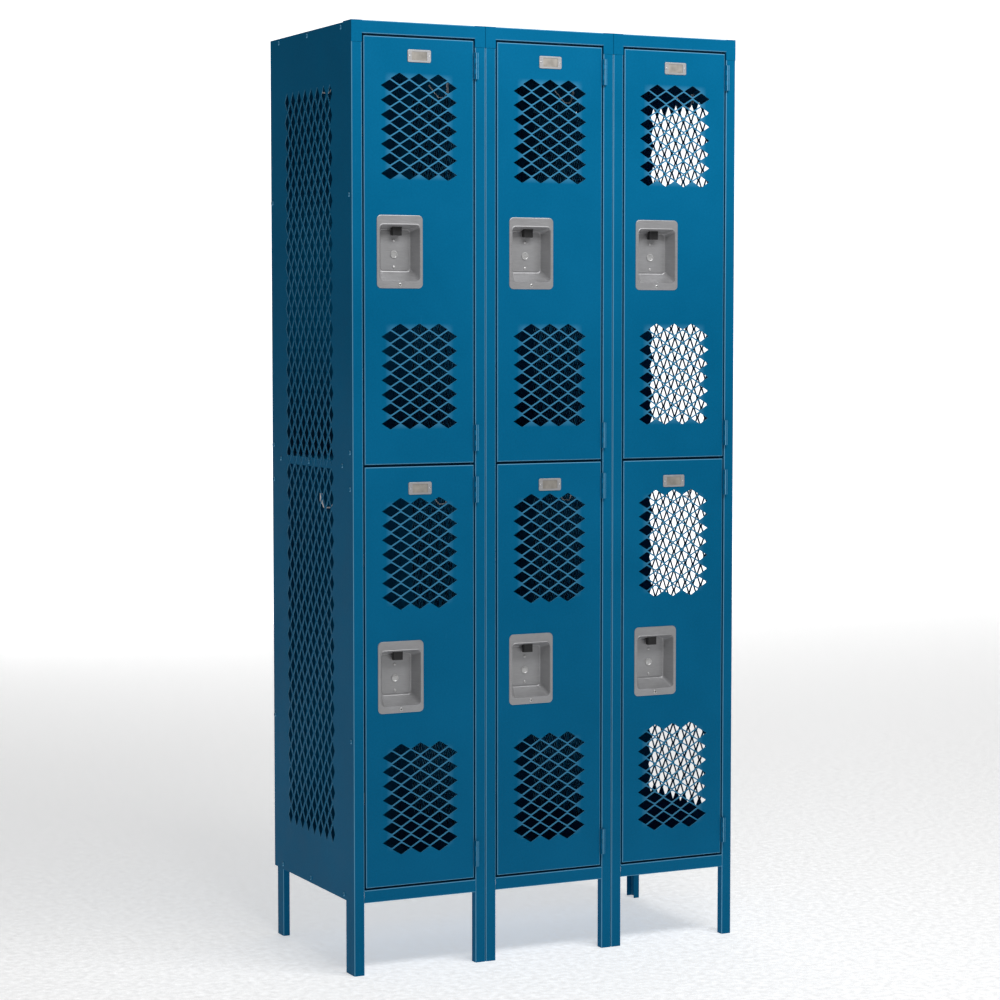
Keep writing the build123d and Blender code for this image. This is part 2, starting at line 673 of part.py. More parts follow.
def coat_hook(wall_x, inward, low):
    """A bent wire hook on a plate against a side wall; `low` is the wire's lowest height."""
    y = FRONT + COAT_HOOK_DEPTH
    plate = sorted((wall_x, wall_x + inward * HOOK_PLATE_SHEET))
    half = HOOK_PLATE_WIDTH / 2
    slab(plate, (y - half, y + half), (low + HOOK_PLATE_RISE[0], low + HOOK_PLATE_RISE[1]))
    bends = [(wall_x + inward * reach, y, low + rise) for reach, rise in COAT_HOOK_BENDS]
    with BuildLine() as path:
        FilletPolyline(*bends, radius=COAT_HOOK_BEND_RADIUS)
    with BuildSketch(Plane(origin=path.line @ 0, z_dir=path.line % 0)) as wire:
        Circle(WIRE_RADIUS)
    sweep(wire.sketch, path=path.line)


def make_wall_hooks():
    with BuildPart() as wall_hooks:
        for index in range(len(UNIT_NAMES)):
            for tier, top in (("upper", ROOF_TOP), ("lower", SHELF_TOP)):
                low = top - COAT_HOOK_DROPS[tier]
                coat_hook(unit_x(index) + WALL_INNER, 1, low)
                coat_hook(unit_x(index) + UNIT_WIDTH - WALL_INNER, -1, low)
    save(wall_hooks, "wall_hooks")


def side_screw(x, outward, places, grip):
    """Pan-headed screws whose shanks end flush inside the sheets they hold."""
    for depth, height in places:
        centre = (x, FRONT + depth, height)
        plane = Plane(origin=centre, x_dir=(0, 1, 0), z_dir=(outward, 0, 0))
        with BuildSketch(plane) as head:
            Circle(SCREW_HEAD_RADIUS)
        extrude(head.sketch, amount=SCREW_HEAD_HEIGHT, taper=SCREW_HEAD_TAPER)
        with BuildSketch(plane) as shank:
            Circle(SCREW_RADIUS)
        extrude(shank.sketch, amount=-grip)


def joining_bolt(seam_x, height):
    """A bolt through the two posts at a seam, with a spacer washer between the units."""
    start = seam_x - WALL_INNER
    end = seam_x + WALL_INNER
    y = FRONT + SCREW_FROM_FRONT
    with BuildSketch(side_plane(start)) as shank:
        with Locations((y, height)):
            Circle(SCREW_RADIUS)
    extrude(shank.sketch, amount=end - start)
    for face_x, length in ((start, -SCREW_HEAD_HEIGHT), (end, SCREW_HEAD_HEIGHT)):
        with BuildSketch(side_plane(face_x)) as hexagon:
            with Locations((y, height)):
                RegularPolygon(SCREW_HEAD_RADIUS, 6)
        extrude(hexagon.sketch, amount=length)
    with BuildSketch(side_plane(seam_x - INSET)) as washer:
        with Locations((y, height)):
            Circle(SCREW_HEAD_RADIUS)
    extrude(washer.sketch, amount=SEAM)


def make_fasteners():
    half_width = CABINET_WIDTH / 2
    front_row = [(SCREW_FROM_FRONT, height) for height in SIDE_SCREW_HEIGHTS]
    others = [place for place in side_screw_places() if place not in front_row]
    with BuildPart() as fasteners:
        for outward in (-1, 1):
            side_screw(outward * (half_width - INSET), outward, front_row, FRAME_SHEET + BODY_SHEET)
            side_screw(outward * (half_width - WALL_OUTER), outward, others, 2 * BODY_SHEET)
        for index in range(1, len(UNIT_NAMES)):
            for height in SIDE_SCREW_HEIGHTS:
                joining_bolt(unit_x(index), height)
    save(fasteners, "screws_and_bolts")


os.makedirs("parts", exist_ok=True)

for number, unit in enumerate(UNIT_NAMES):
    make_upright(f"{unit}_unit_left_upright", unit_x(number) + INSET, 1)
    make_upright(f"{unit}_unit_right_upright", unit_x(number) + UNIT_WIDTH - INSET, -1)
make_headers()
make_sills()
make_mid_rails()
make_walls()
make_back_panels()
make_trays()
make_rear_legs()
make_wall_hooks()
make_fasteners()
make_frame_catches()
make_door_bumpers()
make_hinge_frame_leaves()
make_hinge_pins()
for number in range(len(UNIT_NAMES)):
    for tier_name in TIER_NAMES:
        make_door_panel(number, tier_name)
        make_handle_cup(number, tier_name)
        make_finger_lift(number, tier_name)
        make_lock_bar(number, tier_name)
        make_name_plate(number, tier_name)
        make_door_hinge_leaves(number, tier_name)
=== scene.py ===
import math
import bmesh
import bpy
from mathutils import Matrix, Vector


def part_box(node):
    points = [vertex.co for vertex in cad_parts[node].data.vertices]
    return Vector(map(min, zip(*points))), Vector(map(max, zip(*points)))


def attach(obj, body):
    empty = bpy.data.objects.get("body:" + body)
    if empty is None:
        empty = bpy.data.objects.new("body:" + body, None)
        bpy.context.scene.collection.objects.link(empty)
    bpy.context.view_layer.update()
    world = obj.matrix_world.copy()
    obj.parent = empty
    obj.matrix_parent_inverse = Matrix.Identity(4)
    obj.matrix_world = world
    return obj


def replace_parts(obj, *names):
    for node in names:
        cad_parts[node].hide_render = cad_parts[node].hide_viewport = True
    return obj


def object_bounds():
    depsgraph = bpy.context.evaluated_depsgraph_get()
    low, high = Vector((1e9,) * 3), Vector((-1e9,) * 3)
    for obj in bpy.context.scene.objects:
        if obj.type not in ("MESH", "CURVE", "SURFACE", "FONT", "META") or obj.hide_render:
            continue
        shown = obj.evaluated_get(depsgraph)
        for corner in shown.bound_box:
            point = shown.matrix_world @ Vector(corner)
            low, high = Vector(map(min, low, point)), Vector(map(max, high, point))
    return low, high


# A three-unit, double-tier ventilated locker. Everything is in metres, in the CAD's frame:
# +Z up, doors facing -Y, every door hung on its right-hand edge.
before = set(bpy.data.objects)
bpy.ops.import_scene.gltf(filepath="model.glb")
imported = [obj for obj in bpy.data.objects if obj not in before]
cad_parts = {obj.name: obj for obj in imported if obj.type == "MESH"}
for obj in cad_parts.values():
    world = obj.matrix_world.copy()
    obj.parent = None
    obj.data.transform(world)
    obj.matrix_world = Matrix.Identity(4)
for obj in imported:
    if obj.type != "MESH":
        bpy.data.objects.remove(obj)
CAD_LOW, CAD_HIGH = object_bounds()

UNITS = ("left", "middle", "right")
TIERS = ("upper", "lower")
MM = 0.001
OUTWARD = Vector((0, -1, 0))

# Camera: where the viewer stands from the cabinet's front left foot, and how it looks
CAMERA_FROM_CORNER = Vector((-2.136, -5.037, 1.356))
CAMERA_YAW = -26.16
CAMERA_PITCH = -3.75
CAMERA_LENS = 95.5
CAMERA_SENSOR = 36
CAMERA_REACH = 200

# Studio: one lamp over the doors, a glowing sheet behind the cabinet and a pale floor
WORLD_LIGHT = 0.12
KEY_PLACE = (0.3, -1.8, 3.1)
KEY_TARGET = (0.0, -0.2, 1.6)
KEY_SIZE = (2.4, 0.8)
KEY_POWER = 58
FLOOR_REACH = 30.0
FLOOR_GLOW = 0.5
BACKDROP_DISTANCE = 6.0
BACKDROP_ACROSS = (-0.4, 9)
BACKDROP_TOP = 6
BACKDROP_GLOW = 0.85

# Tall diamonds of the side walls; the field's centre is this far behind the front and below the top
SIDE_COLUMNS = 8
SIDE_ROWS = 36
SIDE_COLUMN_PITCH = 34.5 * MM
SIDE_ROW_PITCH = 44.5 * MM
SIDE_HALF_WIDTH = 12.4 * MM
SIDE_HALF_HEIGHT = 20.2 * MM
SIDE_FIELD_DEPTH = 240 * MM
SIDE_FIELD_DROP = 921 * MM

# Doors and their vent fields; the fades are distances from a field's centre, over which the painted
# highlight on the vent mesh fades out
UNIT_PITCH = 304.8 * MM
TIER_PITCH = 885.5 * MM
UPPER_DOOR_CENTRE = 1509.55 * MM
VENT_OFFSET = 258 * MM
VENT_FADE_ACROSS = (0.062, 0.078)
VENT_FADE_UP = (0.096, 0.11)

# Handle cup; places are from its centre, depths from the front of the frame
CUP_STEEL = 1.1 * MM
CUP_LUG_HALF = 11.5 * MM
CUP_LUG_DEPTHS = (11 * MM, 23 * MM)
CUP_LUG_HEIGHTS = (44 * MM, 62 * MM)
CUP_FLOOR_DEPTH = 26.2 * MM
CUP_BAND_DEPTH = -1.2 * MM
CUP_FITTING_SHIFT = -2 * MM
CUP_RIVET_HEIGHTS = (24 * MM, -31 * MM)
CUP_RIVET_RADIUS = 3.0 * MM
CUP_RIVET_CROWN = 1.3 * MM
CUP_RIVET_SKIRT = 0.4 * MM
LOCK_PLUG_HEIGHT = -5 * MM
BAND_SCREW_HEIGHT = -68 * MM
BAND_SCREW_RADIUS = 4.0 * MM
BAND_SCREW_CROWN = 1.5 * MM
RECESS_LENGTH = 4.2 * MM
RECESS_WIDTH = 0.9 * MM
RECESS_DEPTH = 0.3 * MM
RECESS_RISE = 1.45 * MM

# Card and its holder
CARD_HALF_WIDTH = 17.4 * MM
CARD_HALF_HEIGHT = 8.9 * MM
CARD_CORNER = 1.0 * MM
CARD_BEVEL = 0.6 * MM
CARD_DEPTHS = (0.9 * MM, 0.7 * MM, 0.65 * MM)
CARD_RIVET_OFFSET = 22.3 * MM
CARD_RIVET_RADIUS = 1.9 * MM
CARD_RIVET_CROWN = 0.9 * MM

# Fineness of round shapes
ROUND_STEPS = 8
LATHE_STEPS = 28
DOME_STEPS = 5
DOME_STEP_ANGLE = 15


# Materials
def new_material(name):
    """A node material, its tree and main shader, and the place on the object."""
    material = bpy.data.materials.new(name)
    material.use_nodes = True
    tree = material.node_tree
    shader = tree.nodes["Principled BSDF"]
    place = tree.nodes.new("ShaderNodeTexCoord").outputs["Object"]
    return material, tree, shader, place


def stretched(tree, place, scale):
    """The texture place, scaled along each axis."""
    mapping = tree.nodes.new("ShaderNodeMapping")
    mapping.inputs["Scale"].default_value = scale
    tree.links.new(place, mapping.inputs["Vector"])
    return mapping.outputs["Vector"]


def noise(tree, place, scale, detail=3.0, roughness=0.55):
    """A noise texture's value at a place."""
    node = tree.nodes.new("ShaderNodeTexNoise")
    node.inputs["Scale"].default_value = scale
    node.inputs["Detail"].default_value = detail
    node.inputs["Roughness"].default_value = roughness
    tree.links.new(place, node.inputs["Vector"])
    return node.outputs["Fac"]


def ramp(tree, value, stops):
    """A colour ramp; each stop is a position and an RGB colour."""
    node = tree.nodes.new("ShaderNodeValToRGB")
    elements = node.color_ramp.elements
    while len(elements) < len(stops):
        elements.new(0.5)
    for element, (position, colour) in zip(elements, stops):
        element.position = position
        element.color = (*colour, 1)
    tree.links.new(value, node.inputs["Fac"])
    return node.outputs["Color"]


def span(tree, value, low, high, start=0.3, end=0.7):
    """Maps a texture value from start-end to low-high."""
    node = tree.nodes.new("ShaderNodeMapRange")
    node.inputs["From Min"].default_value = start
    node.inputs["From Max"].default_value = end
    node.inputs["To Min"].default_value = low
    node.inputs["To Max"].default_value = high
    tree.links.new(value, node.inputs["Value"])
    return node.outputs["Result"]


def add_bump(tree, shader, height, strength, distance, under=None):
    """Bumps the shader's normal by a height, on top of the normal `under` where one is given."""
    node = tree.nodes.new("ShaderNodeBump")
    node.inputs["Strength"].default_value = strength
    node.inputs["Distance"].default_value = distance
    tree.links.new(height, node.inputs["Height"])
    if under is not None:
        tree.links.new(under, node.inputs["Normal"])
    tree.links.new(node.outputs["Normal"], shader.inputs["Normal"])
    return node.outputs["Normal"]


def mix_colours(tree, factor, first, second, mode="MIX"):
    """Mixes two colours; each input is a constant or another node's output."""
    node = tree.nodes.new("ShaderNodeMix")
    node.data_type = "RGBA"
    node.blend_type = mode
    for value, socket in ((factor, 0), (first, 6), (second, 7)):
        if isinstance(value, (int, float)):
            node.inputs[socket].default_value = value
        elif isinstance(value, tuple):
            node.inputs[socket].default_value = (*value, 1)
        else:
            tree.links.new(value, node.inputs[socket])
    return node.outputs[2]


def calculate(tree, operation, *values):
    """A math node; each value is a number or another node's output."""
    node = tree.nodes.new("ShaderNodeMath")
    node.operation = operation
    for value, socket in zip(values, node.inputs):
        if isinstance(value, (int, float)):
            socket.default_value = value
        else:
            tree.links.new(value, socket)
    return node.outputs["Value"]


def bend_highlight_mask(tree):
    """Where the painted highlight on bends goes: 1 on rounded bends and slanted cuts, 0 on faces
    square to the cabinet.
    """
    facing = tree.nodes.new("ShaderNodeTexCoord").outputs["Normal"]
    split = tree.nodes.new("ShaderNodeSeparateXYZ")
    tree.links.new(facing, split.inputs["Vector"])
    x, y, z = (calculate(tree, "ABSOLUTE", split.outputs[axis]) for axis in "XYZ")
    widest = calculate(tree, "MAXIMUM", calculate(tree, "MAXIMUM", x, y), z)
    return span(tree, widest, 1.0, 0.0, 0.78, 0.97)


def vent_highlight_mask(tree, place):
    """Where the painted highlight on the vent mesh goes: 1 inside the doors' vent fields, fading to
    0 round them.
    """
    split = tree.nodes.new("ShaderNodeSeparateXYZ")
    tree.links.new(place, split.inputs["Vector"])
    across = calculate(tree, "WRAP", split.outputs["X"], UNIT_PITCH / 2, -UNIT_PITCH / 2)
    height = calculate(tree, "SUBTRACT", split.outputs["Z"], UPPER_DOOR_CENTRE)
    height = calculate(tree, "WRAP", height, TIER_PITCH / 2, -TIER_PITCH / 2)
    height = calculate(tree, "SUBTRACT", calculate(tree, "ABSOLUTE", height), VENT_OFFSET)
    in_width = span(tree, calculate(tree, "ABSOLUTE", across), 1.0, 0.0, *VENT_FADE_ACROSS)
    in_height = span(tree, calculate(tree, "ABSOLUTE", height), 1.0, 0.0, *VENT_FADE_UP)
    return calculate(tree, "MULTIPLY", in_width, in_height)


def powder_coat(name, painted_vent_highlight=False):
    """Powder-coated steel: cloudy tone, orange peel, painted highlights on bends and on the vent
    fields, rubbed patches.
    """
    material, tree, shader, place = new_material(name)
    cloud = noise(tree, place, 3.5, 4)
    tone = ramp(tree, cloud, ((0.3, PAINT_DARK), (0.7, PAINT_LIGHT)))
    speck = noise(tree, place, 240, 2)
    speck_tone = ramp(tree, speck, ((0.35, (0.92, 0.92, 0.92)), (0.65, (1.06, 1.06, 1.06))))
    tone = mix_colours(tree, 0.6, tone, speck_tone, "MULTIPLY")
    scuff_place = stretched(tree, place, (60, 60, 9))
    scuff = span(tree, noise(tree, scuff_place, 1.0, 6, 0.7), 0, 0.22, 0.66, 0.78)
    rubbed = tuple(channel * 1.5 + 0.02 for channel in PAINT_LIGHT)
    tone = mix_colours(tree, scuff, tone, rubbed)
    # Painted highlight: the vent fields get a lighter tone, in place of light caught by the mesh
    # bars' edges.
    if painted_vent_highlight:
        vent_highlight_part = calculate(tree, "MULTIPLY", vent_highlight_mask(tree, place), VENT_HIGHLIGHT_SHARE)
        tone = mix_colours(tree, vent_highlight_part, tone, VENT_HIGHLIGHT_TONE)
    # Painted highlight: rounded bends get a lighter tone, in place of light caught by the bend.
    bend_highlight_part = calculate(tree, "MULTIPLY", bend_highlight_mask(tree), BEND_HIGHLIGHT_SHARE)
    tone = mix_colours(tree, bend_highlight_part, tone, BEND_HIGHLIGHT_TONE)
    tree.links.new(tone, shader.inputs["Base Color"])
    patch = noise(tree, place, 14, 5, 0.6)
    rough = span(tree, patch, PAINT_ROUGHNESS - 0.05, PAINT_ROUGHNESS + 0.1)
    tree.links.new(rough, shader.inputs["Roughness"])
    shader.inputs["Specular IOR Level"].default_value = 0.01
    shader.inputs["Coat Weight"].default_value = 0.05
    shader.inputs["Coat Roughness"].default_value = 0.2
    peel = add_bump(tree, shader, noise(tree, place, 420, 2), 0.16, 0.0006)
    add_bump(tree, shader, noise(tree, place, 9, 2), 0.1, 0.004, peel)
    return material


def brushed_metal(name, dark, light, grain, gloss, metallic=1.0):
    """Bright metal with fine parallel brushing; `grain` scales the lines along X, Y and Z."""
    material, tree, shader, place = new_material(name)
    lines = noise(tree, stretched(tree, place, grain), 1.0, 5, 0.7)
    smudge = noise(tree, place, 28, 4, 0.6)
    tone = ramp(tree, lines, ((0.3, dark), (0.7, light)))
    smear = ramp(tree, smudge, ((0.3, (0.88, 0.88, 0.87)), (0.65, (1.0, 1.0, 1.0))))
    tone = mix_colours(tree, 0.7, tone, smear, "MULTIPLY")
    tree.links.new(tone, shader.inputs["Base Color"])
    shader.inputs["Metallic"].default_value = metallic
    tree.links.new(span(tree, lines, gloss - 0.06, gloss + 0.1), shader.inputs["Roughness"])
    add_bump(tree, shader, lines, 0.12, 0.0003)
    return material


def moulded(name, colour, gloss, scale=500):
    """Moulded plastic, rubber or card: fine grain with a slight tonal drift."""
    material, tree, shader, place = new_material(name)
    drift = noise(tree, place, 60, 3)
    darker = tuple(channel * 0.75 for channel in colour)
    lighter = tuple(channel * 1.2 + 0.003 for channel in colour)
    tone = ramp(tree, drift, ((0.3, darker), (0.7, lighter)))
    tree.links.new(tone, shader.inputs["Base Color"])
    grain = noise(tree, place, scale, 2)
    tree.links.new(span(tree, grain, gloss - 0.06, gloss + 0.08), shader.inputs["Roughness"])
    add_bump(tree, shader, grain, 0.15, 0.0003)
    return material


PAINT_DARK = (0.001, 0.112, 0.238)
PAINT_LIGHT = (0.002, 0.133, 0.28)
PAINT_ROUGHNESS = 0.36
# Painted highlight on the doors' vent mesh: the vent tone and how much of it is mixed in.
VENT_HIGHLIGHT_TONE = (0.1, 0.33, 0.52)
VENT_HIGHLIGHT_SHARE = 0.4
# Painted highlight on rounded bends: the bend tone and how much of it is mixed in.
BEND_HIGHLIGHT_TONE = (0.2, 0.5, 0.72)
BEND_HIGHLIGHT_SHARE = 0.8
PAINT = powder_coat("blue_powder_coat")
DOOR_PAINT = powder_coat("door_powder_coat", painted_vent_highlight=True)
STEEL = brushed_metal(
    "brushed_cup_steel", (0.32, 0.32, 0.33), (0.42, 0.42, 0.43), (40, 40, 1400), 0.38, 0.45
)
PLATE = brushed_metal(
    "card_holder_metal", (0.38, 0.38, 0.39), (0.5, 0.5, 0.51), (30, 30, 900), 0.4, 0.5
)
ZINC = brushed_metal(
    "bright_zinc", (0.55, 0.55, 0.55), (0.7, 0.7, 0.7), (300, 300, 300), 0.28
)
PLATED = brushed_metal(
    "bright_plated_wire", (0.5, 0.5, 0.5), (0.62, 0.62, 0.62), (200, 200, 200), 0.3, 0.5
)
# Painted highlight: the hook wire is near white to stand in for a flash's glare on the plated wire.
HOOK_GLARE_WHITE = moulded("hook_wire_painted_glare", (0.93, 0.93, 0.93), 0.3, 200)
BLACK = moulded("black_plastic", (0.012, 0.012, 0.013), 0.38)
RUBBER = moulded("bumper_rubber", (0.03, 0.03, 0.03), 0.7)
CARD = moulded("card_insert", (0.3, 0.28, 0.25), 0.5, 250)
# Painted shade: a near-black colour for the screw's cross recess.
RECESS_SHADE_TONE = moulded("recess_shade_black", (0.01, 0.01, 0.01), 0.6)
FLOOR = moulded("pale_floor", (0.84, 0.84, 0.84), 0.85, 260)
FLOOR_SHADER = FLOOR.node_tree.nodes["Principled BSDF"]
FLOOR_SHADER.inputs["Emission Color"].default_value = (1, 1, 1, 1)
FLOOR_SHADER.inputs["Emission Strength"].default_value = FLOOR_GLOW
FLOOR_SHADER.inputs["Specular IOR Level"].default_value = 0.1


def dress(node, material):
    """Gives a CAD node its material."""
    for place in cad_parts[node].material_slots:
        place.material = material


# Mesh helpers
def finish_piece(shape, name, body, material, smooth_angle=35):
    """Turns a bmesh into a shaded piece that rides on a body."""
    mesh = bpy.data.meshes.new(name)
    bmesh.ops.recalc_face_normals(shape, faces=shape.faces[:])
    shape.to_mesh(mesh)
    shape.free()
    mesh.materials.append(material)
    mesh.polygons.foreach_set("use_smooth", [True] * len(mesh.polygons))
    mesh.set_sharp_from_angle(angle=math.radians(smooth_angle))
    piece = bpy.data.objects.new(name, mesh)
    bpy.context.scene.collection.objects.link(piece)
    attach(piece, body)
    return piece


def rounded_ring(half_width, half_height, corner, shift=0.0):
    """Points round a rounded rectangle, anticlockwise from its right-hand side."""
    points = []
    corners = ((1, 1, 0), (-1, 1, 90), (-1, -1, 180), (1, -1, 270))
    for side_x, side_z, start in corners:
        centre_x = side_x * (half_width - corner)
        centre_z = side_z * (half_height - corner) + shift
        for step in range(ROUND_STEPS + 1):
            angle = math.radians(start + 90 * step / ROUND_STEPS)
            x = centre_x + corner * math.cos(angle)
            points.append((x, centre_z + corner * math.sin(angle)))
    return points


def bridge(mesh, first, second):
    """Quads between two rings with the same number of points."""
    count = len(first)
    for index in range(count):
        after = (index + 1) % count
        mesh.faces.new((first[index], first[after], second[after], second[index]))


def lathe(mesh, centre, axis, profile):
    """Turns (radius, height) pairs about an axis through centre; closes both ends."""
    turn = Vector((0, 0, 1)).rotation_difference(axis)
    rings = []
    for radius, height in profile:
        ring = []
        for step in range(LATHE_STEPS):
            angle = 2 * math.pi * step / LATHE_STEPS
            local = Vector((radius * math.cos(angle), radius * math.sin(angle), height))
            ring.append(mesh.verts.new(centre + turn @ local))
        rings.append(ring)
    for first, second in zip(rings, rings[1:]):
        bridge(mesh, first, second)
    mesh.faces.new(rings[0])
    mesh.faces.new(rings[-1])


def dome_profile(radius, height, skirt=0.0):
    """A rivet's or screw head's profile, from its seat to just short of its crown."""
    profile = [(radius, -0.2 * height), (radius, skirt)]
    for step in range(1, DOME_STEPS + 1):
        angle = math.radians(DOME_STEP_ANGLE * step)
        profile.append((radius * math.cos(angle), skirt + height * math.sin(angle)))
    return profile


# Perforated side walls
def diamond_field():
    """Centres of the side wall's staggered diamonds, as (depth, height) from the field's centre."""
    places = []
    for row in range(2 * SIDE_ROWS - 1):
        count = SIDE_COLUMNS - row % 2
        height = (row - SIDE_ROWS + 1) * SIDE_ROW_PITCH / 2
        for column in range(count):
            places.append(((column - (count - 1) / 2) * SIDE_COLUMN_PITCH, height))
    return places


def add_outline(curve, points):
    """Adds a closed outline to a flat curve; an outline inside another is a hole."""
    spline = curve.splines.new("POLY")
    spline.points.add(len(points) - 1)
    for point, (u, v) in zip(spline.points, points):
        point.co = (u, v, 0, 1)
    spline.use_cyclic_u = True


def perforated_sheet(name, node, low_x, high_x):
    """One wall sheet with its diamonds cut right through."""
    low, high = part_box(node)
    curve = bpy.data.curves.new(name + "_outline", "CURVE")
    curve.dimensions = "2D"
    curve.fill_mode = "BOTH"
    curve.extrude = (high_x - low_x) / 2
    corners = [(low.y, low.z), (high.y, low.z), (high.y, high.z), (low.y, high.z)]
    add_outline(curve, corners)
    centre_y = FRONT + SIDE_FIELD_DEPTH
    centre_z = CAD_HIGH.z - SIDE_FIELD_DROP
    diamond = (
        (-SIDE_HALF_WIDTH, 0), (0, -SIDE_HALF_HEIGHT), (SIDE_HALF_WIDTH, 0), (0, SIDE_HALF_HEIGHT)
    )
    for depth, height in diamond_field():
        add_outline(curve, [(centre_y + depth + u, centre_z + height + v) for u, v in diamond])
    helper = bpy.data.objects.new(name + "_outline", curve)
    flat = bpy.data.meshes.new_from_object(helper)
    bpy.data.objects.remove(helper)
    mesh = bmesh.new()
    mesh.from_mesh(flat)
    bpy.data.meshes.remove(flat)
    bmesh.ops.remove_doubles(mesh, verts=mesh.verts[:], dist=0.01 * MM)
    middle = (low_x + high_x) / 2
    for vert in mesh.verts:
        along_y, along_z, across = vert.co
        vert.co = (middle + across, along_y, along_z)
    return finish_piece(mesh, name, "cabinet", PAINT, 20)


def make_walls():
    """The two outer walls and the two double partitions."""
    for side in ("left", "right"):
        node = "side_panel_" + side
        low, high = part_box(node)
        sheet = perforated_sheet(side + "_wall_sheet", node, low.x, high.x)
        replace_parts(sheet, node)
    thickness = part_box("side_panel_left")[1].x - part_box("side_panel_left")[0].x
    for side in ("left", "right"):
        node = "partition_" + side
        low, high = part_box(node)
        near = perforated_sheet(side + "_partition_near", node, low.x, low.x + thickness)
        far = perforated_sheet(side + "_partition_far", node, high.x - thickness, high.x)
        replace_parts(near, node)
        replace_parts(far, node)


# Handle cups
def cup_rings(width, height):
    """The cup's rings in mm, rim to floor: half sizes, corner, depth behind FRONT, shift up."""
    half_w = width / 2
    half_h = height / 2
    return (
        (half_w, half_h, 9.5, -0.1, 0),
        (half_w - 0.2, half_h - 0.2, 9.3, -0.8, 0),
        (half_w - 0.9, half_h - 0.9, 8.7, -1.2, 0),
        (half_w - 2.0, half_h - 2.0, 7.8, -1.2, 0),
        (47.8, 60.5, 10.4, -1.2, -2.3),
        (47.0, 59.7, 9.8, -1.25, -2.3),
        (46.2, 58.9, 9.2, -2.0, -2.3),
        (45.4, 58.1, 8.6, -2.0, -2.3),
        (44.7, 57.3, 8.1, -0.9, -2.25),
        (44.2, 56.7, 7.9, 0.8, -2.2),
        (44.0, 56.4, 7.9, 1.6, -2.1),
        (36.6, 45.6, 8.4, 24.6, 2.8),
        (36.2, 45.0, 8.4, 25.6, 2.9),
        (35.5, 44.3, 8.0, 26.5, 3.1),
        (34.4, 43.2, 7.2, 27.0, 3.4),
        (32.6, 41.4, 6.2, 27.0, 3.4),
        (32.0, 40.8, 5.8, 26.2, 3.4),
        (30.6, 39.4, 5.0, 26.2, 3.4),
    )


def make_cup(key):
    """A pressed steel cup with a slot in its top wall for the finger lift."""
    node = key + "_handle_cup"
    low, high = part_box(node)
    centre = (low + high) / 2
    mesh = bmesh.new()
    rings = []
    section = cup_rings((high.x - low.x) / MM, (high.z - low.z) / MM)
    for half_w, half_h, corner, depth, shift in section:
        outline = rounded_ring(half_w * MM, half_h * MM, corner * MM, shift * MM)
        y = FRONT + depth * MM
        rings.append([mesh.verts.new((centre.x + x, y, centre.z + z)) for x, z in outline])
    for first, second in zip(rings, rings[1:]):
        bridge(mesh, first, second)
    mesh.faces.new(rings[-1])
    shell = pressed_sheet(mesh, lug_cutter(centre))
    return finish_piece(shell, key + "_cup_shell", key + "_door", STEEL, 40)


def pressed_sheet(mesh, cutter):
    """Thickens a surface into sheet steel and cuts the cutter's block out of it."""
    surface = bpy.data.meshes.new("pressing")
    bmesh.ops.recalc_face_normals(mesh, faces=mesh.faces[:])
    mesh.to_mesh(surface)
    mesh.free()
    helper = bpy.data.objects.new("pressing", surface)
    bpy.context.scene.collection.objects.link(helper)
    sheet = helper.modifiers.new("sheet", "SOLIDIFY")
    sheet.thickness = CUP_STEEL
    sheet.offset = -1.0
    sheet.use_even_offset = True
    cut = helper.modifiers.new("slot", "BOOLEAN")
    cut.operation = "DIFFERENCE"
    cut.object = cutter
    solid = bmesh.new()
    solid.from_object(helper, bpy.context.evaluated_depsgraph_get())
    for used in (helper, cutter):
        data = used.data
        bpy.data.objects.remove(used)
        bpy.data.meshes.remove(data)
    return solid


def lug_cutter(centre):
    """The block that is cut away from the cup so that the finger lift can rise."""
    front, back = (FRONT + depth for depth in CUP_LUG_DEPTHS)
    bottom, top = (centre.z + height for height in CUP_LUG_HEIGHTS)
    block = bmesh.new()
    bmesh.ops.create_cube(block, size=1.0)
    for vert in block.verts:
        vert.co.x = centre.x + 2 * vert.co.x * CUP_LUG_HALF
        vert.co.y = (front + back) / 2 + vert.co.y * (back - front)
        vert.co.z = (bottom + top) / 2 + vert.co.z * (top - bottom)
    mesh = bpy.data.meshes.new("lug_block")
    block.to_mesh(mesh)
    block.free()
    return bpy.data.objects.new("lug_block", mesh)


